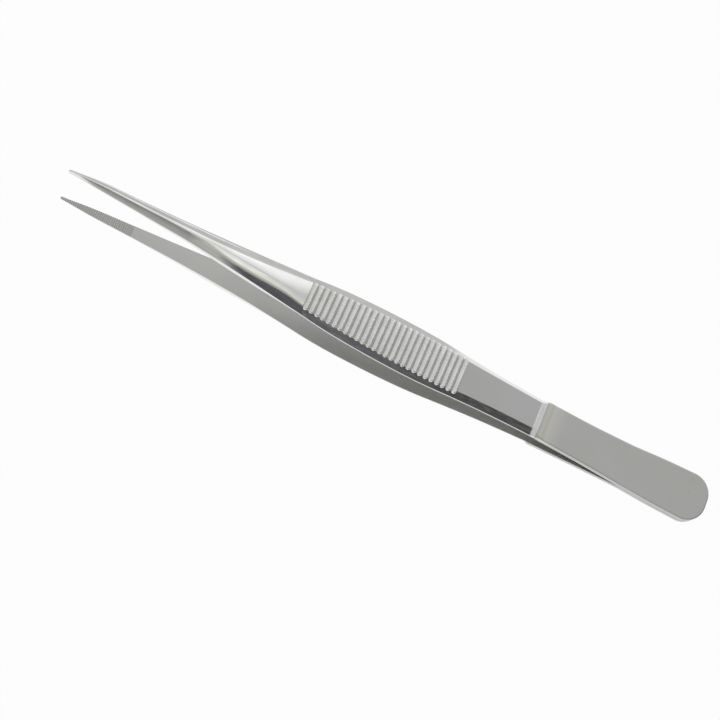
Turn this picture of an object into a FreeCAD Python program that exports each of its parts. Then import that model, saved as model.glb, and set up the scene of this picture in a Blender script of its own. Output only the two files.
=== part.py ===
import FreeCAD, Part
import math
import os

from FreeCAD import Vector

# Straight thumb forceps, all sizes in millimetres.
# Each arm is drawn along X with its tip at 0 and its butt end at overall_length.
# The two arms mirror each other about the plane Z = 0, where their butts are welded together.

overall_length = 145.0

# Opening between the arms
tip_half_gap = 7.55         # inner face of a tip above the mirror plane
weld_length = 18.7          # the butts touch over this length, up to their end
weld_front = overall_length - weld_length
slope_at_weld = 0.098       # how steeply an arm leaves the weld
slope_at_tip = 0.075

# Tip
tip_half_width = 0.26
tooth_zone_end = 16.1       # cross teeth on the inner face end here
tooth_pitch = 0.434
tooth_depth = 0.14
tooth_land = 0.03           # how far the cutter's low points stay clear of the face

# Grip with its cross ribs
grip_front = 51.7
rib_pitch = 1.31
rib_count = 27
rib_width = 0.96
rib_height = 0.40           # crest above the groove floor
rib_root = 0.55             # how deep a rib is set into the plate, below its overhanging ends
rib_flank = 0.12            # upright part of a rib's side
rib_end_width = 0.40
rib_end_length = 0.36
rib_half_lengths = [(51.7, 2.90), (60.0, 3.42), (68.6, 3.85), (78.7, 4.00), (87.1, 3.85)]

# Plate of the grip and of the spring behind it
plate_thickness = 1.20
edge_land = 0.35            # upright strip that the bevel leaves along each long edge
bevel_width = 1.50          # on the near edge

# Butt
step_front = 104.8
ridge_thickness = 1.50      # low cross ridge where the butt starts
ridge_run = 0.75            # length of the ridge's front slope
ridge_length = 0.60
ridge_fall = 1.50
butt_thickness = 1.30
butt_edge_radius = 0.30
butt_half_width_front = 4.10
butt_half_width_middle = 4.22
butt_half_width_weld = 4.60
butt_half_width_rear = 5.22
butt_end_flat = 1.60        # straight stretch across the rounded end
butt_lean_weld = 0.10       # the butt's middle line drifts this far to the far edge
butt_lean_rear = 0.18
plate_overlap = 4.2         # the spring runs this far under the butt

# Station along the arm, half width, width of the bevel on the far edge
plate_stations = [(grip_front, 4.05, 1.50), (56.0, 4.56, 1.50), (61.0, 4.95, 1.50),
                  (70.0, 5.25, 1.50), (79.0, 5.18, 1.50), (87.1, 4.68, 1.20), (95.0, 4.28, 0.98),
                  (step_front, 4.03, 0.85), (step_front + plate_overlap, 4.03, 0.85)]


class TaperSection:
    """One cross section of the tapered front: flat below, rounded flanks and a low roof."""

    def __init__(self, x, half_width, land, bevel, bevel_rise, roof_half_width, roof_rise, thickness):
        self.x = x
        self.half_width = half_width
        self.land = land
        self.bevel = bevel
        self.bevel_rise = bevel_rise
        self.roof_half_width = roof_half_width
        self.roof_rise = roof_rise
        self.thickness = thickness


taper_sections = [
    TaperSection(0.0, tip_half_width, 0.25, 0.05, 0.08, 0.08, 0.02, 0.75),
    TaperSection(2.0, 0.40, 0.27, 0.06, 0.10, 0.10, 0.02, 0.86),
    TaperSection(7.0, 0.83, 0.34, 0.10, 0.14, 0.13, 0.03, 1.10),
    TaperSection(16.5, 1.26, 0.50, 0.16, 0.20, 0.18, 0.04, 1.50),
    TaperSection(26.0, 1.74, 0.85, 0.24, 0.27, 0.25, 0.05, 2.00),
    TaperSection(34.0, 2.26, 1.10, 0.40, 0.36, 0.46, 0.09, 2.35),
    TaperSection(41.8, 2.90, 1.05, 0.66, 0.52, 1.15, 0.24, 2.35),
    TaperSection(47.5, 3.54, 0.70, 0.98, 0.72, 1.95, 0.32, 2.00),
    TaperSection(grip_front, 4.05, edge_land, 1.25, 0.85, 2.70, 0.28,
                 plate_thickness + rib_height),
]
flank_bulge = 0.10          # sagitta of a rounded flank as a share of its chord


def inner_height(x):
    """Height of the arm's inner face above the mirror plane."""
    if x >= weld_front:
        return 0.0
    t = (weld_front - x) / weld_front
    rise = 3.0 * t**2 - 2.0 * t**3
    start = t**3 - 2.0 * t**2 + t
    end = t**3 - t**2
    return tip_half_gap * rise + weld_front * (slope_at_weld * start + slope_at_tip * end)


def inner_curve():
    """The same inner face as a curve from the weld to the tip."""
    third = weld_front / 3.0
    curve = Part.BezierCurve()
    curve.setPoles([
        Vector(weld_front, 0, 0),
        Vector(weld_front - third, 0, third * slope_at_weld),
        Vector(third, 0, tip_half_gap - third * slope_at_tip),
        Vector(0, 0, tip_half_gap),
    ])
    return curve


def rib_half_length(x):
    """Smooth half length of the ribs between their stations."""
    ends = Part.BSplineCurve()
    ends.interpolate([Vector(station, half_length, 0) for station, half_length in rib_half_lengths])
    return ends.intersectCC(Part.LineSegment(Vector(x, 0, 0), Vector(x, overall_length, 0)))[0].Y


def closed_wire(edges):
    return Part.Wire(Part.__sortEdges__(edges))


def taper_wire(section):
    """Closed outline of one taper section in its plane X = constant."""
    base = inner_height(section.x)

    def at(y, z):
        return Vector(section.x, y, base + z)

    def flank(side):
        foot_y = section.half_width - section.bevel
        foot_z = section.land + section.bevel_rise
        run = section.roof_half_width - foot_y
        climb = section.thickness - section.roof_rise - foot_z
        middle_y = foot_y + run / 2.0 + flank_bulge * climb
        middle_z = foot_z + climb / 2.0 - flank_bulge * run
        start = at(side * foot_y, foot_z)
        middle = at(side * middle_y, middle_z)
        stop = at(side * section.roof_half_width, section.thickness - section.roof_rise)
        return start, middle, stop

    w = section.half_width
    ridge = at(0, section.thickness)
    right_foot, right_middle, right_eave = flank(1)
    left_foot, left_middle, left_eave = flank(-1)
    edges = [
        Part.makeLine(at(-w, 0), at(w, 0)),
        Part.makeLine(at(w, 0), at(w, section.land)),
        Part.makeLine(at(w, section.land), right_foot),
        Part.Arc(right_foot, right_middle, right_eave).toShape(),
        Part.makeLine(right_eave, ridge),
        Part.makeLine(ridge, left_eave),
        Part.Arc(left_eave, left_middle, left_foot).toShape(),
        Part.makeLine(left_foot, at(-w, section.land)),
        Part.makeLine(at(-w, section.land), at(-w, 0)),
    ]
    return Part.Wire(edges)


def tapered_front():
    """The polished taper from the tip to the grip, with a rounded nose."""
    taper = Part.makeLoft([taper_wire(section) for section in taper_sections], True, False)
    reach = 2 * tip_half_gap
    nose = Part.makeCylinder(tip_half_width, reach, Vector(tip_half_width, 0, 0))
    behind_nose = Part.makeBox(overall_length, reach, reach, Vector(tip_half_width, -reach / 2, 0))
    return taper.common(nose.fuse(behind_nose))


def plate_wire(x, half_width, far_bevel_width):
    """Bevelled plate section of the grip and spring."""
    base = inner_height(x)
    corners = [(-half_width, 0), (half_width, 0), (half_width, edge_land),
               (half_width - far_bevel_width, plate_thickness),
               (bevel_width - half_width, plate_thickness), (-half_width, edge_land)]
    points = [Vector(x, y, base + z) for y, z in corners]
    return Part.makePolygon(points + points[:1])


def grip_and_spring():
    return Part.makeLoft([plate_wire(*station) for station in plate_stations], True, False)


def rib(x):
    """One cross rib: a rounded crest on upright flanks, with blunt tapered ends."""
    half_length = rib_half_length(x)
    half_width = rib_width / 2
    sunk = -rib_root
    crest = [
        Part.makeLine(Vector(-half_width, 0, sunk), Vector(-half_width, 0, rib_flank)),
        Part.Arc(Vector(-half_width, 0, rib_flank), Vector(0, 0, rib_height),
                 Vector(half_width, 0, rib_flank)).toShape(),
        Part.makeLine(Vector(half_width, 0, rib_flank), Vector(half_width, 0, sunk)),
        Part.makeLine(Vector(half_width, 0, sunk), Vector(-half_width, 0, sunk)),
    ]
    bar = Part.Face(Part.Wire(crest)).extrude(Vector(0, 2 * half_length, 0))
    bar.translate(Vector(0, -half_length, 0))
    straight = half_length - rib_end_length
    corners = [(half_width, -straight), (half_width, straight), (rib_end_width / 2, half_length),
               (-rib_end_width / 2, half_length), (-half_width, straight), (-half_width, -straight),
               (-rib_end_width / 2, -half_length), (rib_end_width / 2, -half_length)]
    outline = [Vector(px, py, sunk) for px, py in corners]
    blunt = Part.Face(Part.makePolygon(outline + outline[:1])).extrude(Vector(0, 0, rib_root + rib_height))
    bar = bar.common(blunt)
    bar.translate(Vector(x, 0, inner_height(x) + plate_thickness))
    return bar


def grip_ribs():
    return [rib(grip_front + (index + 0.5) * rib_pitch) for index in range(rib_count)]


def butt_profile():
    """Side outline of the butt: a low cross ridge, then a plate of constant thickness."""
    curve = inner_curve()
    ridge_start = step_front + ridge_run
    ridge_stop = ridge_start + ridge_length
    face_front = ridge_stop + ridge_fall

    def parameter(x):
        return (weld_front - x) / weld_front

    def above(x, z):
        return Vector(x, 0, inner_height(x) + z)

    underside = curve.toShape(0, parameter(step_front))
    face = curve.toShape(0, parameter(face_front))
    face.translate(Vector(0, 0, butt_thickness))
    edges = [
        underside,
        Part.makeLine(above(step_front, 0), above(step_front, plate_thickness)),
        Part.makeLine(above(step_front, plate_thickness), above(ridge_start, ridge_thickness)),
        Part.makeLine(above(ridge_start, ridge_thickness), above(ridge_stop, ridge_thickness)),
        Part.makeLine(above(ridge_stop, ridge_thickness), above(face_front, butt_thickness)),
        face,
        Part.makeLine(above(weld_front, butt_thickness), above(overall_length, butt_thickness)),
        Part.makeLine(above(overall_length, butt_thickness), above(overall_length, 0)),
        Part.makeLine(above(overall_length, 0), above(weld_front, 0)),
    ]
    return Part.Face(closed_wire(edges))


def butt_outline():
    """Plan outline of the butt: rounded shoulders, flared sides and a rounded end."""
    plate_half_width, far_bevel_width = plate_stations[-1][1:]
    near_neck = plate_half_width - bevel_width
    far_neck = plate_half_width - far_bevel_width
    corner_radius = butt_half_width_rear - butt_end_flat / 2
    corner_bend = corner_radius * math.sin(math.pi / 4)
    end_x = overall_length - corner_radius

    def side_edges(side, neck):
        shoulder_radius = butt_half_width_front - neck
        shoulder_x = step_front + shoulder_radius
        bend = shoulder_radius * (1 - math.cos(math.pi / 4))
        start = Vector(step_front, side * neck, 0)
        corner = Vector(shoulder_x, side * butt_half_width_front, 0)
        middle = Vector(step_front + bend, side * (butt_half_width_front - bend), 0)
        at_weld = side * butt_half_width_weld + butt_lean_weld
        at_rear = side * butt_half_width_rear + butt_lean_rear
        flank = Part.BSplineCurve()
        flank.interpolate([
            corner,
            Vector((shoulder_x + weld_front) / 2, side * butt_half_width_middle, 0),
            Vector(weld_front, at_weld, 0),
            Vector((weld_front + end_x) / 2, (at_weld + 2 * at_rear) / 3, 0),
            Vector(end_x, at_rear, 0),
        ])
        end_y = side * butt_end_flat / 2 + butt_lean_rear
        round_corner = Part.Arc(Vector(end_x, at_rear, 0),
                                Vector(end_x + corner_bend, end_y + side * corner_bend, 0),
                                Vector(overall_length, end_y, 0))
        return [Part.Arc(start, middle, corner).toShape(), flank.toShape(), round_corner.toShape()]

    front = Part.makeLine(Vector(step_front, -near_neck, 0), Vector(step_front, far_neck, 0))
    end = Part.makeLine(Vector(overall_length, butt_lean_rear - butt_end_flat / 2, 0),
                        Vector(overall_length, butt_lean_rear + butt_end_flat / 2, 0))
    return Part.Face(closed_wire([front, end] + side_edges(1, far_neck) + side_edges(-1, near_neck)))


def butt_plate():
    """Welded rear plate with its outer edge rounded."""
    reach = 4 * butt_half_width_rear
    slab = butt_profile().extrude(Vector(0, reach, 0))
    slab.translate(Vector(0, -reach / 2, 0))
    column = butt_outline().extrude(Vector(0, 0, reach))
    column.translate(Vector(0, 0, -butt_thickness))
    plate = slab.common(column)
    rim = [edge for edge in plate.Edges if on_outer_rim(edge)]
    return plate.makeFillet(butt_edge_radius, rim)


def on_outer_rim(edge):
    """True for an edge that runs round the outer face of the butt, behind the ridge."""
    margin = 0.2
    middle = edge.valueAt((edge.FirstParameter + edge.LastParameter) / 2)
    high = middle.z > inner_height(middle.x) + butt_thickness - 0.05 * margin
    behind_ridge = middle.x > step_front + ridge_run + ridge_length + ridge_fall + margin
    off_centre = abs(middle.y) > 5 * margin or middle.x > overall_length - 5 * margin
    return high and behind_ridge and off_centre


def tooth_comb(phase):
    """Cutter for the cross teeth of a tip; phase shifts it by a share of the pitch."""
    reach = 4.0
    below = 1.0
    count = int(tooth_zone_end / tooth_pitch)
    first = tooth_zone_end - (count - phase) * tooth_pitch
    points = [Vector(first, -reach, inner_height(first) - below)]
    for index in range(count):
        start = first + index * tooth_pitch
        root = start + tooth_pitch / 2
        points.append(Vector(start, -reach, inner_height(start) - tooth_land))
        points.append(Vector(root, -reach, inner_height(root) + tooth_depth))
    last = first + count * tooth_pitch
    points.append(Vector(last, -reach, inner_height(last) - tooth_land))
    points.append(Vector(last, -reach, inner_height(last) - below))
    comb = Part.Face(Part.makePolygon(points + points[:1]))
    return comb.extrude(Vector(0, 2 * reach, 0))


def arm(tooth_phase):
    """One forged arm, above the mirror plane."""
    front = tapered_front().cut(tooth_comb(tooth_phase))
    body = front.fuse([grip_and_spring(), butt_plate()] + grip_ribs())
    return body.removeSplitter()


def rest_tilt():
    """Slope at which the pair lies on the lower arm's fullest point and its butt end."""
    contact = overall_length - butt_edge_radius
    outer = [(section.x, inner_height(section.x) + section.thickness) for section in taper_sections]
    drops = [math.atan2(height - butt_thickness, contact - x) for x, height in outer]
    return math.degrees(max(drops))


def laid_down(shape):
    """The arm as it lies, before the pair is centred over the origin."""
    laid = shape.copy()
    laid.rotate(Vector(0, 0, 0), Vector(0, 1, 0), rest_tilt())
    return laid


def main():
    upper = laid_down(arm(0.0))
    lower = laid_down(arm(-0.5).mirror(Vector(0, 0, 0), Vector(0, 0, 1)))
    box = Part.makeCompound([upper, lower]).optimalBoundingBox(False)
    to_origin = Vector(-(box.XMin + box.XMax) / 2, -(box.YMin + box.YMax) / 2, -box.ZMin)
    os.makedirs("parts", exist_ok=True)
    for name, shape in (("upper_arm", upper), ("lower_arm", lower)):
        placed = shape.copy()
        placed.translate(to_origin)
        solid = placed.Solids[0]
        print(name, len(placed.Solids), placed.isValid(), round(solid.Volume, 2), len(solid.Faces))
        solid.exportStep("parts/" + name + ".step")
    print("rest tilt in degrees", round(rest_tilt(), 3), "size", box.XLength, box.YLength, box.ZLength)


main()
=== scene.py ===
import math

import bmesh
import bpy
from mathutils import Matrix, Vector


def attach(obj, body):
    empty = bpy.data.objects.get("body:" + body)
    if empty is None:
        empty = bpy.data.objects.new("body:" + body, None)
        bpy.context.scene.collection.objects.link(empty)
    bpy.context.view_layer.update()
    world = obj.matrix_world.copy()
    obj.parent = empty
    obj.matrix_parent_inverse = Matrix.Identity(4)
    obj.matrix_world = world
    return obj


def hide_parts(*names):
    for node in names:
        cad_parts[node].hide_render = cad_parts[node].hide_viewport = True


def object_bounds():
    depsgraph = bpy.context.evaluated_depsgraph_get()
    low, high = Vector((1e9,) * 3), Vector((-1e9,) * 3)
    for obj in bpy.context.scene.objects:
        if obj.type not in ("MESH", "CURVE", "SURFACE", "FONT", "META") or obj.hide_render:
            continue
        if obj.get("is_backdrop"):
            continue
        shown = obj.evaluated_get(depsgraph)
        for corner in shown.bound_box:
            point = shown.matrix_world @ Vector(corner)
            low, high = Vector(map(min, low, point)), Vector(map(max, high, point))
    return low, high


# Straight thumb forceps. Sizes are in millimetres along the arm, from its tip at 0 to its butt
# end at 145, and each finished arm is laid in the row frame in metres. The near side is the
# camera's, at negative y.

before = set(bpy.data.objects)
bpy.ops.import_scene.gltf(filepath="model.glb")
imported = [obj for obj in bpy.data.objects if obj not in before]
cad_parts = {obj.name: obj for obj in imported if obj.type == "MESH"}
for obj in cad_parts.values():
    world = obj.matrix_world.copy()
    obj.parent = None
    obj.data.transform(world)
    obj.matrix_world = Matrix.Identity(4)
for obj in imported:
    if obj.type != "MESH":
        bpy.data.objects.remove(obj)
cad_low, cad_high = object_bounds()

MM = 0.001

# Middle line of an arm, as the height of its inner face above the plane between the arms
ARM_LENGTH = 145.0
TIP_HALF_GAP = 7.55
WELD_FRONT = 126.3  # the inner faces touch from here to the end of the butt
SLOPE_AT_WELD = 0.098
SLOPE_AT_TIP = 0.075
SLOPE_REACH = 0.1  # half the run over which a slope is measured

# Nose and tip serrations
NOSE_LENGTH = 0.45
NOSE_RINGS = 5
NOSE_STEP = 15  # degrees round the nose from one ring to the next
NOSE_HEIGHT = 0.7  # height at the very front, as a share of that behind the nose
TIP_LEAN = 0.75  # sideways lean of the upper arm's point at the start of the span
TIP_LEAN_SPAN = (-8.0, 9.0)
TOOTH_ZONE_END = 16.1
TOOTH_COUNT = 37
TOOTH_PITCH = 0.434
TOOTH_DEPTH = 0.14

# Ribbed grip; the profile of a rib gives the inset of its side and its height above the plate
GRIP_FRONT = 51.7
RIB_PITCH = 1.31
RIB_COUNT = 27
RIB_WIDTH = 1.08
RIB_POINTS = 20
RIB_PROFILE = [(0.0, -0.65), (0.0, 0.14), (0.03, 0.24), (0.10, 0.33), (0.22, 0.385), (0.40, 0.40)]
NEAR_RIB_EXTRA = 0.24  # how much further the ribs reach over the near bevel

# Plate from the grip to the butt: its bevels end at the low cross ridge, in front of the butt
TAPER_END = GRIP_FRONT + 0.28
PLATE_THICKNESS = 1.20
PLATE_ROOF = 0.6  # share of the flat top over which the roof's points are spread
EDGE_LAND = 0.35  # upright edge below the bevels
NEAR_BEVEL = 1.50
FIRST_NEAR_BEVEL = 1.25  # near bevel where the grip begins
NEAR_BEVEL_SPAN = (GRIP_FRONT, 57.0)
STEP_FRONT = 104.8
RIDGE = (104.35, 105.55, 106.15, 107.65)  # start and end of its rise, then of its fall
RIDGE_THICKNESS = 1.50
RUNOUT = (104.2, 106.9)  # where the bevels turn into a rounded rim
BUTT_THICKNESS = 1.30
RIM_RADIUS = 0.30
CORNER_RADIUS = 4.42
END_FLAT = 1.60  # straight part across the round end
END_LEAN = 0.22  # drift of the round end to the far side

# Rings along the arm
TEETH_TO_TAPER = 0.3
TAPER_STEPS = 71
TAPER_TO_PLATE = 0.02
PLATE_STEPS = 76
RIDGE_MARGIN = 1.0
RIDGE_STEP = 0.14
RIDGE_STEPS = 30
BUTT_STEPS = 44
CORNER_STEPS = 24

# Points along each bowed edge of a section, as shares of its chord, and how far it bows out
EDGE_SOFTNESS = 0.04
BEVEL_POINTS = (0.015, 0.10, 0.50, 0.90, 0.985)
FLANK_POINTS = (0.015, 0.10, 0.37, 0.63, 0.90, 0.985)
ROOF_POINTS = (0.02, 0.30, 0.80, 0.985)
NEAR_POINTS = (BEVEL_POINTS, (0.02, 0.35, 0.75), (0.10, 0.50, 0.90), (0.25, 0.60, 0.85, 0.985))
NEAR_BOWS = (0.015, 0.03, 0.02, 0.03)
FACET_BOW = 0.02
FLANK_BOW = 0.035
ROOF_BOW = 0.03
RIM_BOW = 0.2
STEEPEST = 0.60  # greatest rise of a far facet over its width

# Lanes number the points of a section from the inner face to the top of the roof
INNER_LANE = 1
BEVEL_LANE = 7
RIB_LANE = 99
# Finishes of one steel; the polished, ribbed and inner ones are painted lighter than the satin,
# brightness that stands in for their reflections
SATIN, POLISHED_PAINTED_BRIGHT, RIBBED_PAINTED_BRIGHT, INNER_PAINTED_BRIGHT = range(4)
SHARP_DEGREES = 28
MERGE_DISTANCE = 1e-4

# x, half width, upright land, bevel width, bevel rise, roof half width, roof rise, thickness
TAPER = [
    (0.0, 0.26, 0.25, 0.05, 0.08, 0.08, 0.02, 0.75),
    (2.0, 0.40, 0.27, 0.06, 0.10, 0.10, 0.02, 0.86),
    (7.0, 0.83, 0.34, 0.10, 0.14, 0.13, 0.03, 1.10),
    (16.5, 1.26, 0.50, 0.16, 0.20, 0.18, 0.04, 1.50),
    (26.0, 1.74, 0.85, 0.24, 0.27, 0.25, 0.05, 2.00),
    (34.0, 2.26, 1.10, 0.40, 0.36, 0.46, 0.09, 2.35),
    (41.8, 2.90, 1.05, 0.66, 0.52, 1.15, 0.24, 2.35),
    (47.5, 3.54, 0.70, 0.98, 0.72, 1.95, 0.32, 2.00),
    (51.7, 4.05, 0.35, 1.25, 0.85, 2.70, 0.28, 1.60),
]
# Near side of the taper: x, half width, upright land, then width and rise of the lower flank, the
# middle flank and the brow, and how far the crest lies from the middle
NEAR_TAPER = [
    (16.0, 1.24, 0.48, 0.155, 0.195, 0.56, 0.50, 0.36, 0.25, 0.0),
    (26.0, 1.76, 0.87, 0.25, 0.27, 0.76, 0.55, 0.46, 0.25, 0.10),
    (34.0, 2.56, 1.30, 0.46, 0.34, 0.79, 0.43, 0.58, 0.21, 0.45),
    (39.6, 3.08, 1.23, 0.68, 0.49, 0.80, 0.40, 0.52, 0.18, 0.75),
    (47.5, 3.70, 0.58, 1.03, 0.74, 0.80, 0.43, 0.54, 0.19, 0.97),
    (51.98, 4.08, 0.35, 1.25, 0.85, 0.60, 0.26, 0.50, 0.12, 1.35),
]
# The near side is faceted in front of the first place and fully rounded behind the second
ROUNDED_FROM = (22.0, 32.5)
# x, half width, width of the bevel on the far edge, drift of the middle line to the far side
PLATE = [
    (51.7, 4.05, 1.50, 0.0), (56.0, 4.56, 1.50, 0.0), (61.0, 4.95, 1.50, 0.0),
    (70.0, 5.25, 1.50, 0.0), (79.0, 5.18, 1.50, 0.0), (87.1, 4.68, 1.20, 0.0),
    (95.0, 4.28, 0.98, 0.0), (104.8, 4.03, 0.85, 0.0), (106.4, 4.10, 0.85, 0.0),
    (116.3, 4.22, 0.85, 0.0), (126.3, 4.60, 0.85, 0.10), (133.4, 5.01, 0.85, 0.15),
    (140.58, 5.22, 0.85, 0.18),
]
RIB_HALF_LENGTHS = [(51.7, 2.90), (60.0, 3.42), (68.6, 3.85), (78.7, 4.00), (87.1, 3.85)]

# Name, tone, tone of its clouds, roughness from and to, scale and stretch of the grain, scale of
# the clouds, strength and depth of the relief in metres, tone of the painted warm glow if it has
# one
# The polished, ribbed and inner tones are painted lighter than the satin tone of the same steel,
# brightness that stands in for their reflections
STEELS = [
    ("satin_steel", (0.545, 0.54, 0.545), (0.51, 0.52, 0.49), (0.30, 0.38),
     9000.0, 0.08, 60.0, 0.25, 0.00002, (0.64, 0.64, 0.585)),
    ("polished_steel_painted_bright", (0.84, 0.84, 0.83), (0.78, 0.78, 0.77), (0.10, 0.20),
     1800.0, 0.25, 150.0, 0.15, 0.00002, None),
    ("ribbed_steel_painted_bright", (0.90, 0.90, 0.89), (0.82, 0.82, 0.81), (0.22, 0.38),
     2600.0, 1.0, 400.0, 0.9, 0.00005, None),
    ("inner_satin_painted_bright", (0.69, 0.69, 0.675), (0.64, 0.64, 0.63), (0.34, 0.42),
     9000.0, 0.08, 60.0, 0.25, 0.00002, None),
]
# The painted warm glow, a lighter and yellower band of the satin steel that stands in for reflected
# light, comes in over the first span and goes out over the second, in metres
PAINTED_GLOW_SPANS = ((0.0334, 0.0344), (0.0390, 0.0345))

# Degrees from overhead, minus on the near side and plus on the far side, and the light there
TIP_SKY = [
    (-100, (0.90, 0.90, 0.88)), (-92, (0.75, 0.75, 0.73)), (-86, (0.53, 0.54, 0.51)),
    (-74, (0.41, 0.42, 0.39)), (-66, (0.40, 0.41, 0.37)), (-58, (0.50, 0.50, 0.47)),
    (-40, (0.51, 0.51, 0.49)), (-32, (0.58, 0.58, 0.55)), (-20, (0.50, 0.50, 0.48)),
    (20, (0.52, 0.52, 0.51)), (36, (0.62, 0.62, 0.60)), (52, (0.56, 0.56, 0.54)),
    (66, (0.50, 0.50, 0.49)), (92, (0.52, 0.52, 0.50)),
]
GRIP_SKY = [
    (-92, (0.45, 0.45, 0.44)), (-86, (0.45, 0.45, 0.45)), (-74, (0.34, 0.35, 0.31)),
    (-66, (0.30, 0.30, 0.27)), (-61, (0.09, 0.09, 0.095)), (-54, (0.085, 0.085, 0.09)),
    (-37, (0.09, 0.09, 0.10)), (-34, (0.34, 0.34, 0.30)), (-30, (0.48, 0.48, 0.42)),
    (-26, (0.46, 0.46, 0.40)), (-22, (0.86, 0.86, 0.80)), (-18, (1.15, 1.15, 1.08)),
    (-12, (0.85, 0.85, 0.80)), (0, (0.85, 0.85, 0.83)), (6, (1.0, 1.0, 0.97)),
    (13, (0.52, 0.52, 0.52)), (25, (0.55, 0.55, 0.55)), (34, (0.95, 0.95, 0.93)),
    (42, (1.18, 1.18, 1.17)), (50, (1.16, 1.16, 1.15)), (58, (0.82, 0.82, 0.81)),
    (68, (0.62, 0.62, 0.61)), (92, (0.56, 0.56, 0.55)),
]
BUTT_SKY = [
    (-92, (0.40, 0.39, 0.39)), (-86, (0.33, 0.32, 0.31)), (-70, (0.22, 0.22, 0.22)),
    (-60, (0.08, 0.08, 0.08)), (-54, (0.055, 0.055, 0.055)), (-37, (0.06, 0.06, 0.065)),
    (-33, (0.30, 0.30, 0.28)), (-29, (0.55, 0.55, 0.51)), (-22, (0.65, 0.65, 0.60)),
    (-14, (0.46, 0.46, 0.43)), (-8, (0.55, 0.54, 0.50)), (-2, (0.78, 0.78, 0.76)),
    (5, (0.64, 0.63, 0.62)), (12, (0.54, 0.54, 0.53)), (25, (0.60, 0.60, 0.60)),
    (30, (0.76, 0.76, 0.75)), (35, (0.98, 0.98, 0.95)), (41, (1.11, 1.11, 1.10)),
    (53, (0.94, 0.93, 0.93)), (68, (0.74, 0.74, 0.73)), (92, (0.70, 0.70, 0.69)),
]
# Where each of these lights takes over, by how far the ray's direction points along the tool
GRIP_SKY_SPAN = (0.005, 0.06)
BUTT_SKY_SPAN = (0.24, 0.36)
DIM_SPAN = (0.66, 0.85)
FLASH_SPAN = (-0.2, -0.4)
PATCH_SPAN = (0.42, 0.25)
DIM = (0.16, 0.16, 0.16)
FLASH = (0.62, 0.62, 0.605)
PATCH_STOPS = ((0.46, (0.0, 0.0, 0.0)), (0.68, (0.03, 0.033, 0.055)))
WHITE = (1.0, 1.0, 1.0)

# The floor, in metres, and how white it looks to the camera
FLOOR_SIZE = 1.2
FLOOR_DROP = 0.0001
FLOOR_SHARE = 0.96


def eased(stations, x, column=1):
    """Smooth value of one column between stations: cubic with the slopes of its neighbours."""
    count = len(stations)
    index = 0
    while index < count - 2 and x > stations[index + 1][0]:
        index += 1

    def slope(at):
        before, after = max(at - 1, 0), min(at + 1, count - 1)
        run = stations[after][0] - stations[before][0]
        return (stations[after][column] - stations[before][column]) / run

    x0, x1 = stations[index][0], stations[index + 1][0]
    v0, v1 = stations[index][column], stations[index + 1][column]
    span = x1 - x0
    t = min(max((x - x0) / span, 0.0), 1.0)
    return ((2 * t**3 - 3 * t**2 + 1) * v0 + (t**3 - 2 * t**2 + t) * span * slope(index)
            + (3 * t**2 - 2 * t**3) * v1 + (t**3 - t**2) * span * slope(index + 1))


def ramp(x, start, stop):
    """Share that eases from 0 at start to 1 at stop."""
    t = min(max((x - start) / (stop - start), 0.0), 1.0)
    return t * t * (3 - 2 * t)


def blend(a, b, share):
    return a + (b - a) * share


def spread(start, stop, steps):
    """Evenly spaced places from start to stop, with both."""
    return [blend(start, stop, step / steps) for step in range(steps + 1)]


def inner_height(x):
    """Height of the arm's inner face above the plane between the arms."""
    if x >= WELD_FRONT:
        return 0.0
    t = (WELD_FRONT - x) / WELD_FRONT
    rise = 3.0 * t**2 - 2.0 * t**3
    start = t**3 - 2.0 * t**2 + t
    end = t**3 - t**2
    return TIP_HALF_GAP * rise + WELD_FRONT * (SLOPE_AT_WELD * start + SLOPE_AT_TIP * end)


def bowed(start, stop, shares, sag):
    """Points from start to stop, bowed outwards by sag times the chord."""
    run, climb = stop[0] - start[0], stop[1] - start[1]
    points = []
    for share in shares:
        bow = 4 * share * (1 - share) * sag
        points.append((start[0] + run * share - climb * bow, start[1] + climb * share + run * bow))
    return points


def soft_land(land, lift):
    """Points (inset from the side, height) over the softened rim and up the upright land."""
    return [(EDGE_SOFTNESS, lift), (0.0, lift + EDGE_SOFTNESS), (0.0, land - EDGE_SOFTNESS)]


def half_section(half_width, land, bevel, rise, roof, roof_rise, thickness, bevel_bow, lift,
                 crest=0.0):
    """Points (inset from the side, height) from the inner face round to the top of the roof."""
    foot = (bevel, land + rise)
    eave = (half_width - roof, thickness - roof_rise)
    top = (half_width + crest, thickness)
    points = soft_land(land, lift)
    points += bowed((0.0, land), foot, BEVEL_POINTS, bevel_bow)
    points += bowed(foot, eave, FLANK_POINTS, FLANK_BOW if roof_rise else 0.0)
    points += bowed(eave, top, ROOF_POINTS, ROOF_BOW * min(crest, 1.0))
    return points


def near_share(x, swelled):
    """Width of the near side over its listed width; only the upper arm's flank swells."""
    return 1.0 if swelled else eased(TAPER, min(x, GRIP_FRONT)) / eased(NEAR_TAPER, x)


def tip_drift(x, swelled):
    """The upper arm's point lies a little to the near side."""
    return -TIP_LEAN * (1 - ramp(x, *TIP_LEAN_SPAN)) if swelled else 0.0


def faceted_half(x, lift, share, flattened=False, crest=0.0):
    """Half section of the faceted front; share narrows and lowers it round the nose.

    Flattened facets lose their steepness, and the land takes up the height that they lose.
    """
    half_width, land, bevel, rise, roof, roof_rise, thickness = [
        eased(TAPER, x, column) for column in range(1, 8)]
    if flattened:
        flank = half_width - roof - bevel
        climb = thickness - roof_rise - land - rise
        land += max(rise - STEEPEST * bevel, 0.0) + max(climb - STEEPEST * flank, 0.0)
        rise = min(rise, STEEPEST * bevel)
    lower = blend(NOSE_HEIGHT, 1.0, share)
    return half_section(half_width * share, land * lower, bevel * share, rise, roof * share,
                        roof_rise, thickness * lower, FACET_BOW, lift, crest)


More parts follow.
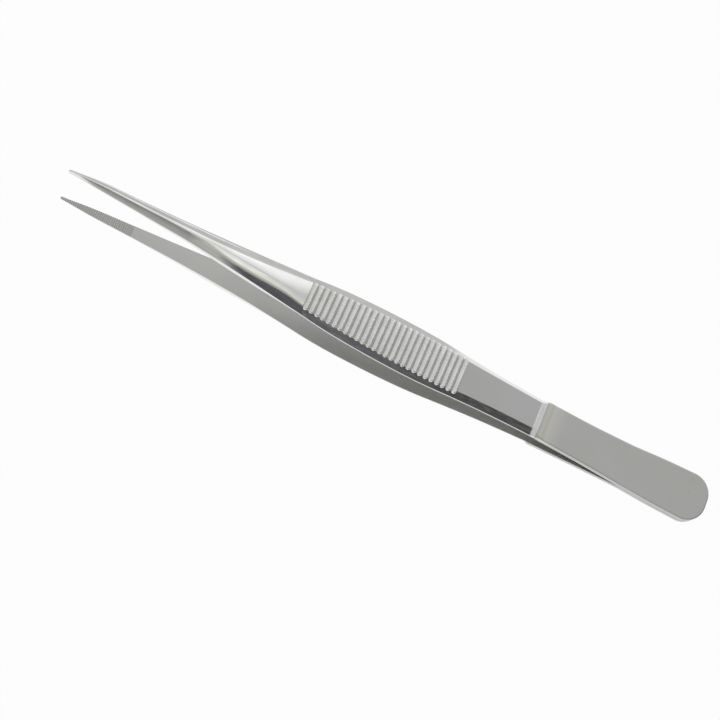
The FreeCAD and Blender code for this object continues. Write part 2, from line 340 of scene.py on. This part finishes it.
def far_taper(x, lift, share, swelled):
    """Far half section of the tapered front, with flatter facets over a taller land."""
    crest = eased(NEAR_TAPER, x, 9) * near_share(x, swelled) * ramp(x, *ROUNDED_FROM)
    return faceted_half(x, lift, share, True, crest)


def near_taper(x, lift, share, swelled):
    """Near half section of the front: faceted at the tip, one rounded flank nearer the grip."""
    facets = faceted_half(x, lift, share)
    if x <= ROUNDED_FROM[0]:
        return facets
    half_width, land, lower, lower_rise, middle, middle_rise, brow, brow_rise, crest = [
        eased(NEAR_TAPER, x, column) for column in range(1, 10)]
    foot = (lower, land + lower_rise)
    shoulder = (foot[0] + middle, foot[1] + middle_rise)
    eave = (shoulder[0] + brow, shoulder[1] + brow_rise)
    corners = [(0.0, land), foot, shoulder, eave, (half_width - crest, eased(TAPER, x, 7))]
    points = soft_land(land, lift)
    for start, stop, shares, bow in zip(corners, corners[1:], NEAR_POINTS, NEAR_BOWS):
        points += bowed(start, stop, shares, bow)
    narrowed = near_share(x, swelled)
    rounded = ramp(x, *ROUNDED_FROM)
    return [(blend(a[0], b[0] * narrowed, rounded), blend(a[1], b[1], rounded))
            for a, b in zip(facets, points)]


def plate_height(x):
    """Thickness of the plate along the spring, over the low cross ridge and along the butt."""
    up = blend(PLATE_THICKNESS, RIDGE_THICKNESS, ramp(x, RIDGE[0], RIDGE[1]))
    return blend(up, BUTT_THICKNESS, ramp(x, RIDGE[2], RIDGE[3]))


def plate_half(x, full_bevel, reach=None):
    """Half section of the plate; reach is how far its points run in from the side."""
    half_width = reach or eased(PLATE, x)
    runout = ramp(x, *RUNOUT)
    thickness = plate_height(x)
    bevel = blend(full_bevel, RIM_RADIUS, runout)
    land = blend(EDGE_LAND, thickness - RIM_RADIUS, runout)
    roof = PLATE_ROOF * (half_width - bevel)
    return half_section(half_width, land, bevel, thickness - land, roof, 0.0, thickness,
                        RIM_BOW * runout, 0.0)


def ring(x, half_width, inward, far, near, drift=0.0, near_extra=0.0):
    """One closed ring: up the far side, down the near side; insets run along inward in plan."""
    base = inner_height(x)
    near_edge = drift - half_width - near_extra
    up = [Vector((x + inward[0] * inset, drift + half_width + inward[1] * inset, base + height))
          for inset, height in far]
    down = [Vector((x + inward[0] * inset, near_edge - inward[1] * inset, base + height))
            for inset, height in near]
    return up + down[::-1]


def front_rings(tooth_phase, swelled):
    """Rings of the rounded nose, the toothed tip and the taper.

    The teeth are moved along by tooth_phase pitches, and only a swelled arm has the bulged flank.
    """
    rings = []
    straight = (0.0, -1.0)
    for step in range(1, NOSE_RINGS + 1):
        angle = math.radians(NOSE_STEP * step)
        x = NOSE_LENGTH * (1 - math.cos(angle))
        share = math.sin(angle)
        far, near = far_taper(x, 0.0, share, swelled), near_taper(x, 0.0, share, swelled)
        width = eased(TAPER, x) * share
        rings.append(ring(x, width, straight, far, near, tip_drift(x, swelled)))
    first = TOOTH_ZONE_END - (TOOTH_COUNT - tooth_phase) * TOOTH_PITCH
    stations = [(first + step * TOOTH_PITCH / 2, TOOTH_DEPTH * (step % 2))
                for step in range(2 * TOOTH_COUNT + 1)]
    stations = [(x, lift) for x, lift in stations if x > NOSE_LENGTH]
    stations += [(x, 0.0) for x in spread(TOOTH_ZONE_END + TEETH_TO_TAPER, GRIP_FRONT, TAPER_STEPS)]
    stations.append((TAPER_END, 0.0))
    for x, lift in stations:
        far, near = far_taper(x, lift, 1.0, swelled), near_taper(x, lift, 1.0, swelled)
        width = eased(TAPER, min(x, GRIP_FRONT))
        extra = (eased(NEAR_TAPER, x) * near_share(x, swelled) - width) * ramp(x, *ROUNDED_FROM)
        rings.append(ring(x, width, straight, far, near, tip_drift(x, swelled), extra))
    return rings


def plate_rings():
    """Rings of the grip, the spring, the cross ridge and the butt with its rounded end."""
    rings = []
    straight = (0.0, -1.0)
    end_centre = ARM_LENGTH - CORNER_RADIUS
    stations = spread(TAPER_END + TAPER_TO_PLATE, STEP_FRONT - RIDGE_MARGIN, PLATE_STEPS)
    stations += [stations[-1] + RIDGE_STEP * step for step in range(1, RIDGE_STEPS + 1)]
    stations += spread(stations[-1], end_centre, BUTT_STEPS)[1:]
    for x in stations:
        far = plate_half(x, eased(PLATE, x, 2))
        near = plate_half(x, blend(FIRST_NEAR_BEVEL, NEAR_BEVEL, ramp(x, *NEAR_BEVEL_SPAN)))
        rings.append(ring(x, eased(PLATE, x), straight, far, near, eased(PLATE, x, 3)))
    # One ring more than the round end has steps closes the flat across it
    half = plate_half(end_centre, NEAR_BEVEL, CORNER_RADIUS)
    for step in range(1, CORNER_STEPS + 2):
        angle = math.radians(max(90 - 90 * step / CORNER_STEPS, 0.0))
        along, across = math.cos(angle), math.sin(angle)
        half_width = END_FLAT / 2 + CORNER_RADIUS * across if step <= CORNER_STEPS else 0.0
        rings.append(ring(end_centre + CORNER_RADIUS * along, half_width, (-along, -across),
                          half, half, PLATE[-1][3] + END_LEAN * along))
    return rings


def loft(bm, rings, lanes, cap_end=True):
    """Skin of one loop extruded through every ring, capped at its start and perhaps its end."""
    lane = bm.verts.layers.int.get("lane") or bm.verts.layers.int.new("lane")
    loop = [bm.verts.new(place) for place in rings[0]]
    edges = [bm.edges.new((loop[i - 1], loop[i])) for i in range(len(loop))]
    for vert, number in zip(loop, lanes):
        vert[lane] = number
    bmesh.ops.contextual_create(bm, geom=edges)
    for places in rings[1:]:
        made = bmesh.ops.extrude_edge_only(bm, edges=edges)["geom"]
        raised = {v for v in made if isinstance(v, bmesh.types.BMVert)}
        edges = [e for e in made if isinstance(e, bmesh.types.BMEdge)]
        loop = [next(e.other_vert(v) for e in v.link_edges if e.other_vert(v) in raised)
                for v in loop]
        for vert, place, number in zip(loop, places, lanes):
            vert.co = place
            vert[lane] = number
    if cap_end:
        bmesh.ops.contextual_create(bm, geom=edges)


def rib_rings(x):
    """Rings of one cross rib: round ends, upright foot and rounded crest, sunk into the plate."""
    reach = eased(RIB_HALF_LENGTHS, x) - RIB_WIDTH / 2
    climb = inner_height(x + SLOPE_REACH) - inner_height(x - SLOPE_REACH)
    lean = -math.atan(climb / (2 * SLOPE_REACH))
    place = (Matrix.Translation((x, 0, inner_height(x) + PLATE_THICKNESS))
             @ Matrix.Rotation(lean, 4, "Y"))
    rings = []
    for inset, height in RIB_PROFILE:
        radius = RIB_WIDTH / 2 - inset
        level = []
        for step in range(RIB_POINTS):
            angle = math.radians(360 * (step + 0.5) / RIB_POINTS)
            side = reach if math.sin(angle) > 0 else -reach - NEAR_RIB_EXTRA
            level.append(place @ Vector((radius * math.cos(angle),
                                         side + radius * math.sin(angle), height)))
        rings.append(level)
    return rings


def finish_for(lanes, x):
    """Material index of a face from the lanes that it joins and its place along the arm."""
    low, high = min(lanes), max(lanes)
    if low == RIB_LANE:
        return RIBBED_PAINTED_BRIGHT
    if high <= INNER_LANE:
        return INNER_PAINTED_BRIGHT
    if x < GRIP_FRONT or (high <= BEVEL_LANE and x < RIDGE[1]):
        return POLISHED_PAINTED_BRIGHT
    # The rise of the cross ridge takes the lightened ribbed steel, a painted highlight along the
    # ridge
    return RIBBED_PAINTED_BRIGHT if RIDGE[0] < x < RIDGE[1] else SATIN


def laid_down(bm):
    """Tilts an arm as the pair lies and brings it to metres."""
    contact = ARM_LENGTH - RIM_RADIUS
    drops = [math.atan2(inner_height(row[0]) + row[7] - BUTT_THICKNESS, contact - row[0])
             for row in TAPER]
    bmesh.ops.transform(bm, matrix=Matrix.Rotation(max(drops), 4, "Y"), verts=bm.verts)
    bmesh.ops.scale(bm, vec=(MM, MM, MM), verts=bm.verts)


def arm_mesh(name, tooth_phase, lower):
    """Mesh of one arm with its ribs; the lower arm is the mirror image without the swell."""
    bm = bmesh.new()
    rings = front_rings(tooth_phase, not lower) + plate_rings()
    side = len(rings[0]) // 2
    loft(bm, rings, list(range(side)) + list(reversed(range(side))), cap_end=False)
    bmesh.ops.remove_doubles(bm, verts=bm.verts, dist=MERGE_DISTANCE)
    for index in range(RIB_COUNT):
        ribs = rib_rings(GRIP_FRONT + (index + 0.5) * RIB_PITCH)
        loft(bm, ribs, [RIB_LANE] * len(ribs[0]))
    lane = bm.verts.layers.int["lane"]
    for face in bm.faces:
        face.material_index = finish_for([v[lane] for v in face.verts],
                                         face.calc_center_median().x)
        face.smooth = True
    if lower:
        bmesh.ops.scale(bm, vec=(1, 1, -1), verts=bm.verts)
    laid_down(bm)
    bmesh.ops.recalc_face_normals(bm, faces=bm.faces)
    mesh = bpy.data.meshes.new(name)
    bm.to_mesh(mesh)
    bm.free()
    mesh.set_sharp_from_angle(angle=math.radians(SHARP_DEGREES))
    return mesh


def arm_piece(name, tooth_phase, lower, node, finishes):
    """Visible arm that takes the place of its solid and rides on the part."""
    mesh = arm_mesh(name, tooth_phase, lower)
    for material in finishes:
        mesh.materials.append(material)
    piece = bpy.data.objects.new(name, mesh)
    bpy.context.scene.collection.objects.link(piece)
    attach(piece, "root")
    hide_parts(node)
    return piece


def new_material(name):
    material = bpy.data.materials.new(name)
    material.use_nodes = True
    return material, material.node_tree, material.node_tree.nodes["Principled BSDF"]


def plain_colour(nodes, colour):
    node = nodes.new("ShaderNodeRGB")
    node.outputs["Color"].default_value = (*colour, 1.0)
    return node.outputs["Color"]


def computed(nodes, links, operation, *terms):
    """Result of one sum; each term is a number or a socket."""
    node = nodes.new("ShaderNodeMath")
    node.operation = operation
    for index, term in enumerate(terms):
        if isinstance(term, bpy.types.NodeSocket):
            links.new(term, node.inputs[index])
        else:
            node.inputs[index].default_value = term
    return node.outputs["Value"]


def colour_stops(nodes, links, share, stops):
    """Colour ramp through (position, colour) stops."""
    node = nodes.new("ShaderNodeValToRGB")
    elements = node.color_ramp.elements
    while len(elements) > 1:
        elements.remove(elements[-1])
    for index, (position, colour) in enumerate(stops):
        element = elements[0] if index == 0 else elements.new(position)
        element.position = position
        element.color = (*colour, 1.0)
    links.new(share, node.inputs["Fac"])
    return node.outputs["Color"]


def strip_light(nodes, links, around, strips):
    """Light of each long strip by its angle from overhead."""
    return colour_stops(nodes, links, around,
                        [(0.5 + degrees / 360.0, colour) for degrees, colour in strips])


def eased_share(nodes, links, along, start, stop):
    """Share that runs from 0 to 1 between two places along the tool."""
    node = nodes.new("ShaderNodeMapRange")
    node.interpolation_type = "SMOOTHSTEP"
    node.inputs["From Min"].default_value = start
    node.inputs["From Max"].default_value = stop
    links.new(along, node.inputs["Value"])
    return node.outputs["Result"]


def mixed_colour(nodes, links, share, first, second, blend_type="MIX"):
    node = nodes.new("ShaderNodeMixRGB")
    node.blend_type = blend_type
    links.new(share, node.inputs["Fac"])
    links.new(first, node.inputs["Color1"])
    links.new(second, node.inputs["Color2"])
    return node.outputs["Color"]


def grain_group():
    """Fine grain and slow clouds on Object coordinates, for every steel finish."""
    group = bpy.data.node_groups.new("steel_grain", "ShaderNodeTree")
    face = group.interface
    for name in ("Grain Scale", "Stretch", "Cloud Scale"):
        socket = face.new_socket(name=name, in_out="INPUT", socket_type="NodeSocketFloat")
        socket.default_value = 1.0
    for name in ("Grain", "Cloud"):
        face.new_socket(name=name, in_out="OUTPUT", socket_type="NodeSocketFloat")
    nodes, links = group.nodes, group.links
    start, end = nodes.new("NodeGroupInput"), nodes.new("NodeGroupOutput")
    place = nodes.new("ShaderNodeTexCoord")
    turn = nodes.new("ShaderNodeMapping")
    axes = nodes.new("ShaderNodeCombineXYZ")
    axes.inputs["Y"].default_value = 1.0
    axes.inputs["Z"].default_value = 1.0
    fine, slow = nodes.new("ShaderNodeTexNoise"), nodes.new("ShaderNodeTexNoise")
    fine.inputs["Detail"].default_value = 3.0
    slow.inputs["Detail"].default_value = 2.0
    links.new(start.outputs["Stretch"], axes.inputs["X"])
    links.new(axes.outputs["Vector"], turn.inputs["Scale"])
    links.new(place.outputs["Object"], turn.inputs["Vector"])
    links.new(turn.outputs["Vector"], fine.inputs["Vector"])
    links.new(place.outputs["Object"], slow.inputs["Vector"])
    links.new(start.outputs["Grain Scale"], fine.inputs["Scale"])
    links.new(start.outputs["Cloud Scale"], slow.inputs["Scale"])
    links.new(fine.outputs["Fac"], end.inputs["Grain"])
    links.new(slow.outputs["Fac"], end.inputs["Cloud"])
    return group


def steel(group, name, tone, cloud_tone, roughness, grain, stretch, cloud, bump, depth, painted_glow):
    """Steel whose colour drifts with the clouds, with a painted warm glow band where one is given,
    and whose gloss and relief follow the grain.
    """
    material, tree, shader = new_material(name)
    nodes, links = tree.nodes, tree.links
    detail = nodes.new("ShaderNodeGroup")
    detail.node_tree = group
    detail.inputs["Grain Scale"].default_value = grain
    detail.inputs["Stretch"].default_value = stretch
    detail.inputs["Cloud Scale"].default_value = cloud
    colour = colour_stops(nodes, links, detail.outputs["Cloud"], ((0.35, cloud_tone), (0.65, tone)))
    # Painted glow: a lighter, yellower band along the arm that stands in for reflected light
    if painted_glow:
        axes = nodes.new("ShaderNodeSeparateXYZ")
        links.new(nodes.new("ShaderNodeTexCoord").outputs["Object"], axes.inputs["Vector"])
        shares = [eased_share(nodes, links, axes.outputs["X"], *span) for span in PAINTED_GLOW_SPANS]
        painted_glow_share = computed(nodes, links, "MULTIPLY", *shares)
        colour = mixed_colour(nodes, links, painted_glow_share, colour, plain_colour(nodes, painted_glow))
    gloss = nodes.new("ShaderNodeMapRange")
    gloss.inputs["From Min"].default_value = 0.3
    gloss.inputs["From Max"].default_value = 0.7
    gloss.inputs["To Min"].default_value = roughness[0]
    gloss.inputs["To Max"].default_value = roughness[1]
    relief = nodes.new("ShaderNodeBump")
    relief.inputs["Strength"].default_value = bump
    relief.inputs["Distance"].default_value = depth
    links.new(colour, shader.inputs["Base Color"])
    links.new(detail.outputs["Grain"], gloss.inputs["Value"])
    links.new(gloss.outputs["Result"], shader.inputs["Roughness"])
    links.new(detail.outputs["Grain"], relief.inputs["Height"])
    links.new(relief.outputs["Normal"], shader.inputs["Normal"])
    shader.inputs["Metallic"].default_value = 1.0
    return material


def studio_world():
    """Studio light: long strips beside the tool, greys beyond its ends, white to the camera."""
    world = bpy.data.worlds.new("studio")
    world.use_nodes = True
    bpy.context.scene.world = world
    nodes, links = world.node_tree.nodes, world.node_tree.links
    place = nodes.new("ShaderNodeTexCoord").outputs["Generated"]
    axes = nodes.new("ShaderNodeSeparateXYZ")
    links.new(place, axes.inputs["Vector"])
    along = axes.outputs["X"]
    angle = computed(nodes, links, "ARCTAN2", axes.outputs["Y"], axes.outputs["Z"])
    around = computed(nodes, links, "MULTIPLY_ADD", angle, 0.5 / math.pi, 0.5)
    sky = strip_light(nodes, links, around, TIP_SKY)
    for span, strips in ((GRIP_SKY_SPAN, GRIP_SKY), (BUTT_SKY_SPAN, BUTT_SKY)):
        sky = mixed_colour(nodes, links, eased_share(nodes, links, along, *span), sky,
                           strip_light(nodes, links, around, strips))
    for span, grey in ((DIM_SPAN, DIM), (FLASH_SPAN, FLASH)):
        sky = mixed_colour(nodes, links, eased_share(nodes, links, along, *span), sky,
                           plain_colour(nodes, grey))
    patches = nodes.new("ShaderNodeTexNoise")
    patches.inputs["Scale"].default_value = 22.0
    patches.inputs["Detail"].default_value = 4.0
    links.new(place, patches.inputs["Vector"])
    tint = colour_stops(nodes, links, patches.outputs["Fac"], PATCH_STOPS)
    sky = mixed_colour(nodes, links, eased_share(nodes, links, along, *PATCH_SPAN),
                       sky, tint, "ADD")
    camera_ray = nodes.new("ShaderNodeLightPath").outputs["Is Camera Ray"]
    seen = mixed_colour(nodes, links, camera_ray, sky, plain_colour(nodes, WHITE))
    links.new(seen, nodes["Background"].inputs["Color"])


def white_floor():
    """Pale floor, white to the camera and in the metal, with the object's faint shadow."""
    bm = bmesh.new()
    bmesh.ops.create_grid(bm, x_segments=1, y_segments=1, size=FLOOR_SIZE)
    mesh = bpy.data.meshes.new("floor")
    bm.to_mesh(mesh)
    bm.free()
    floor = bpy.data.objects.new("floor", mesh)
    bpy.context.scene.collection.objects.link(floor)
    floor.location.z = -FLOOR_DROP
    material, tree, shader = new_material("floor_paper")
    nodes, links = tree.nodes, tree.links
    shader.inputs["Base Color"].default_value = (0.9, 0.9, 0.9, 1.0)
    shader.inputs["Roughness"].default_value = 0.9
    shine = nodes.new("ShaderNodeEmission")
    shine.inputs["Strength"].default_value = 1.0
    rays = nodes.new("ShaderNodeLightPath").outputs
    seen = computed(nodes, links, "MAXIMUM", rays["Is Camera Ray"], rays["Is Glossy Ray"])
    seen = computed(nodes, links, "MAXIMUM", seen, rays["Is Transmission Ray"])
    mixed = nodes.new("ShaderNodeMixShader")
    links.new(computed(nodes, links, "MULTIPLY", seen, FLOOR_SHARE), mixed.inputs["Fac"])
    links.new(shader.outputs["BSDF"], mixed.inputs[1])
    links.new(shine.outputs["Emission"], mixed.inputs[2])
    links.new(mixed.outputs["Shader"], nodes["Material Output"].inputs["Surface"])
    mesh.materials.append(material)
    floor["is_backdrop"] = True


def photo_camera():
    """Camera at the photograph's viewing angle, 350 mm from the tool."""
    azimuth = math.radians(-12.849)
    elevation = math.radians(68.955)
    roll = math.radians(37.55)
    aim = Vector((-4.868, -4.408, 3.839)) * MM
    distance = 350.0 * MM
    back = Vector((math.sin(azimuth) * math.cos(elevation),
                   -math.cos(azimuth) * math.cos(elevation),
                   math.sin(elevation)))
    level = Vector((math.cos(azimuth), math.sin(azimuth), 0.0))
    above = back.cross(level)
    right = level * math.cos(roll) + above * math.sin(roll)
    up = above * math.cos(roll) - level * math.sin(roll)
    data = bpy.data.cameras.new("photo_camera")
    data.lens = 87.34
    data.sensor_width = 36.0
    data.clip_start = 0.02
    data.clip_end = 20.0
    camera = bpy.data.objects.new("photo_camera", data)
    bpy.context.scene.collection.objects.link(camera)
    turn = Matrix((right, up, back)).transposed().to_4x4()
    camera.matrix_world = Matrix.Translation(aim + back * distance) @ turn
    bpy.context.scene.camera = camera


grain_nodes = grain_group()
finishes = [steel(grain_nodes, *row) for row in STEELS]

photo_camera()
studio_world()
white_floor()
upper = arm_piece("upper_arm_steel", 0.0, False, "upper_arm", finishes)
lower = arm_piece("lower_arm_steel", -0.5, True, "lower_arm", finishes)

# Both arms move together until they lie inside the box of the solids
low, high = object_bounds()
shift = Vector((cad_high.x - high.x, cad_low.y - low.y, cad_low.z - low.z))
for piece in (upper, lower):
    piece.data.transform(Matrix.Translation(shift))
    piece.data.update()

bpy.context.scene.view_settings.view_transform = "Standard"
low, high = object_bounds()
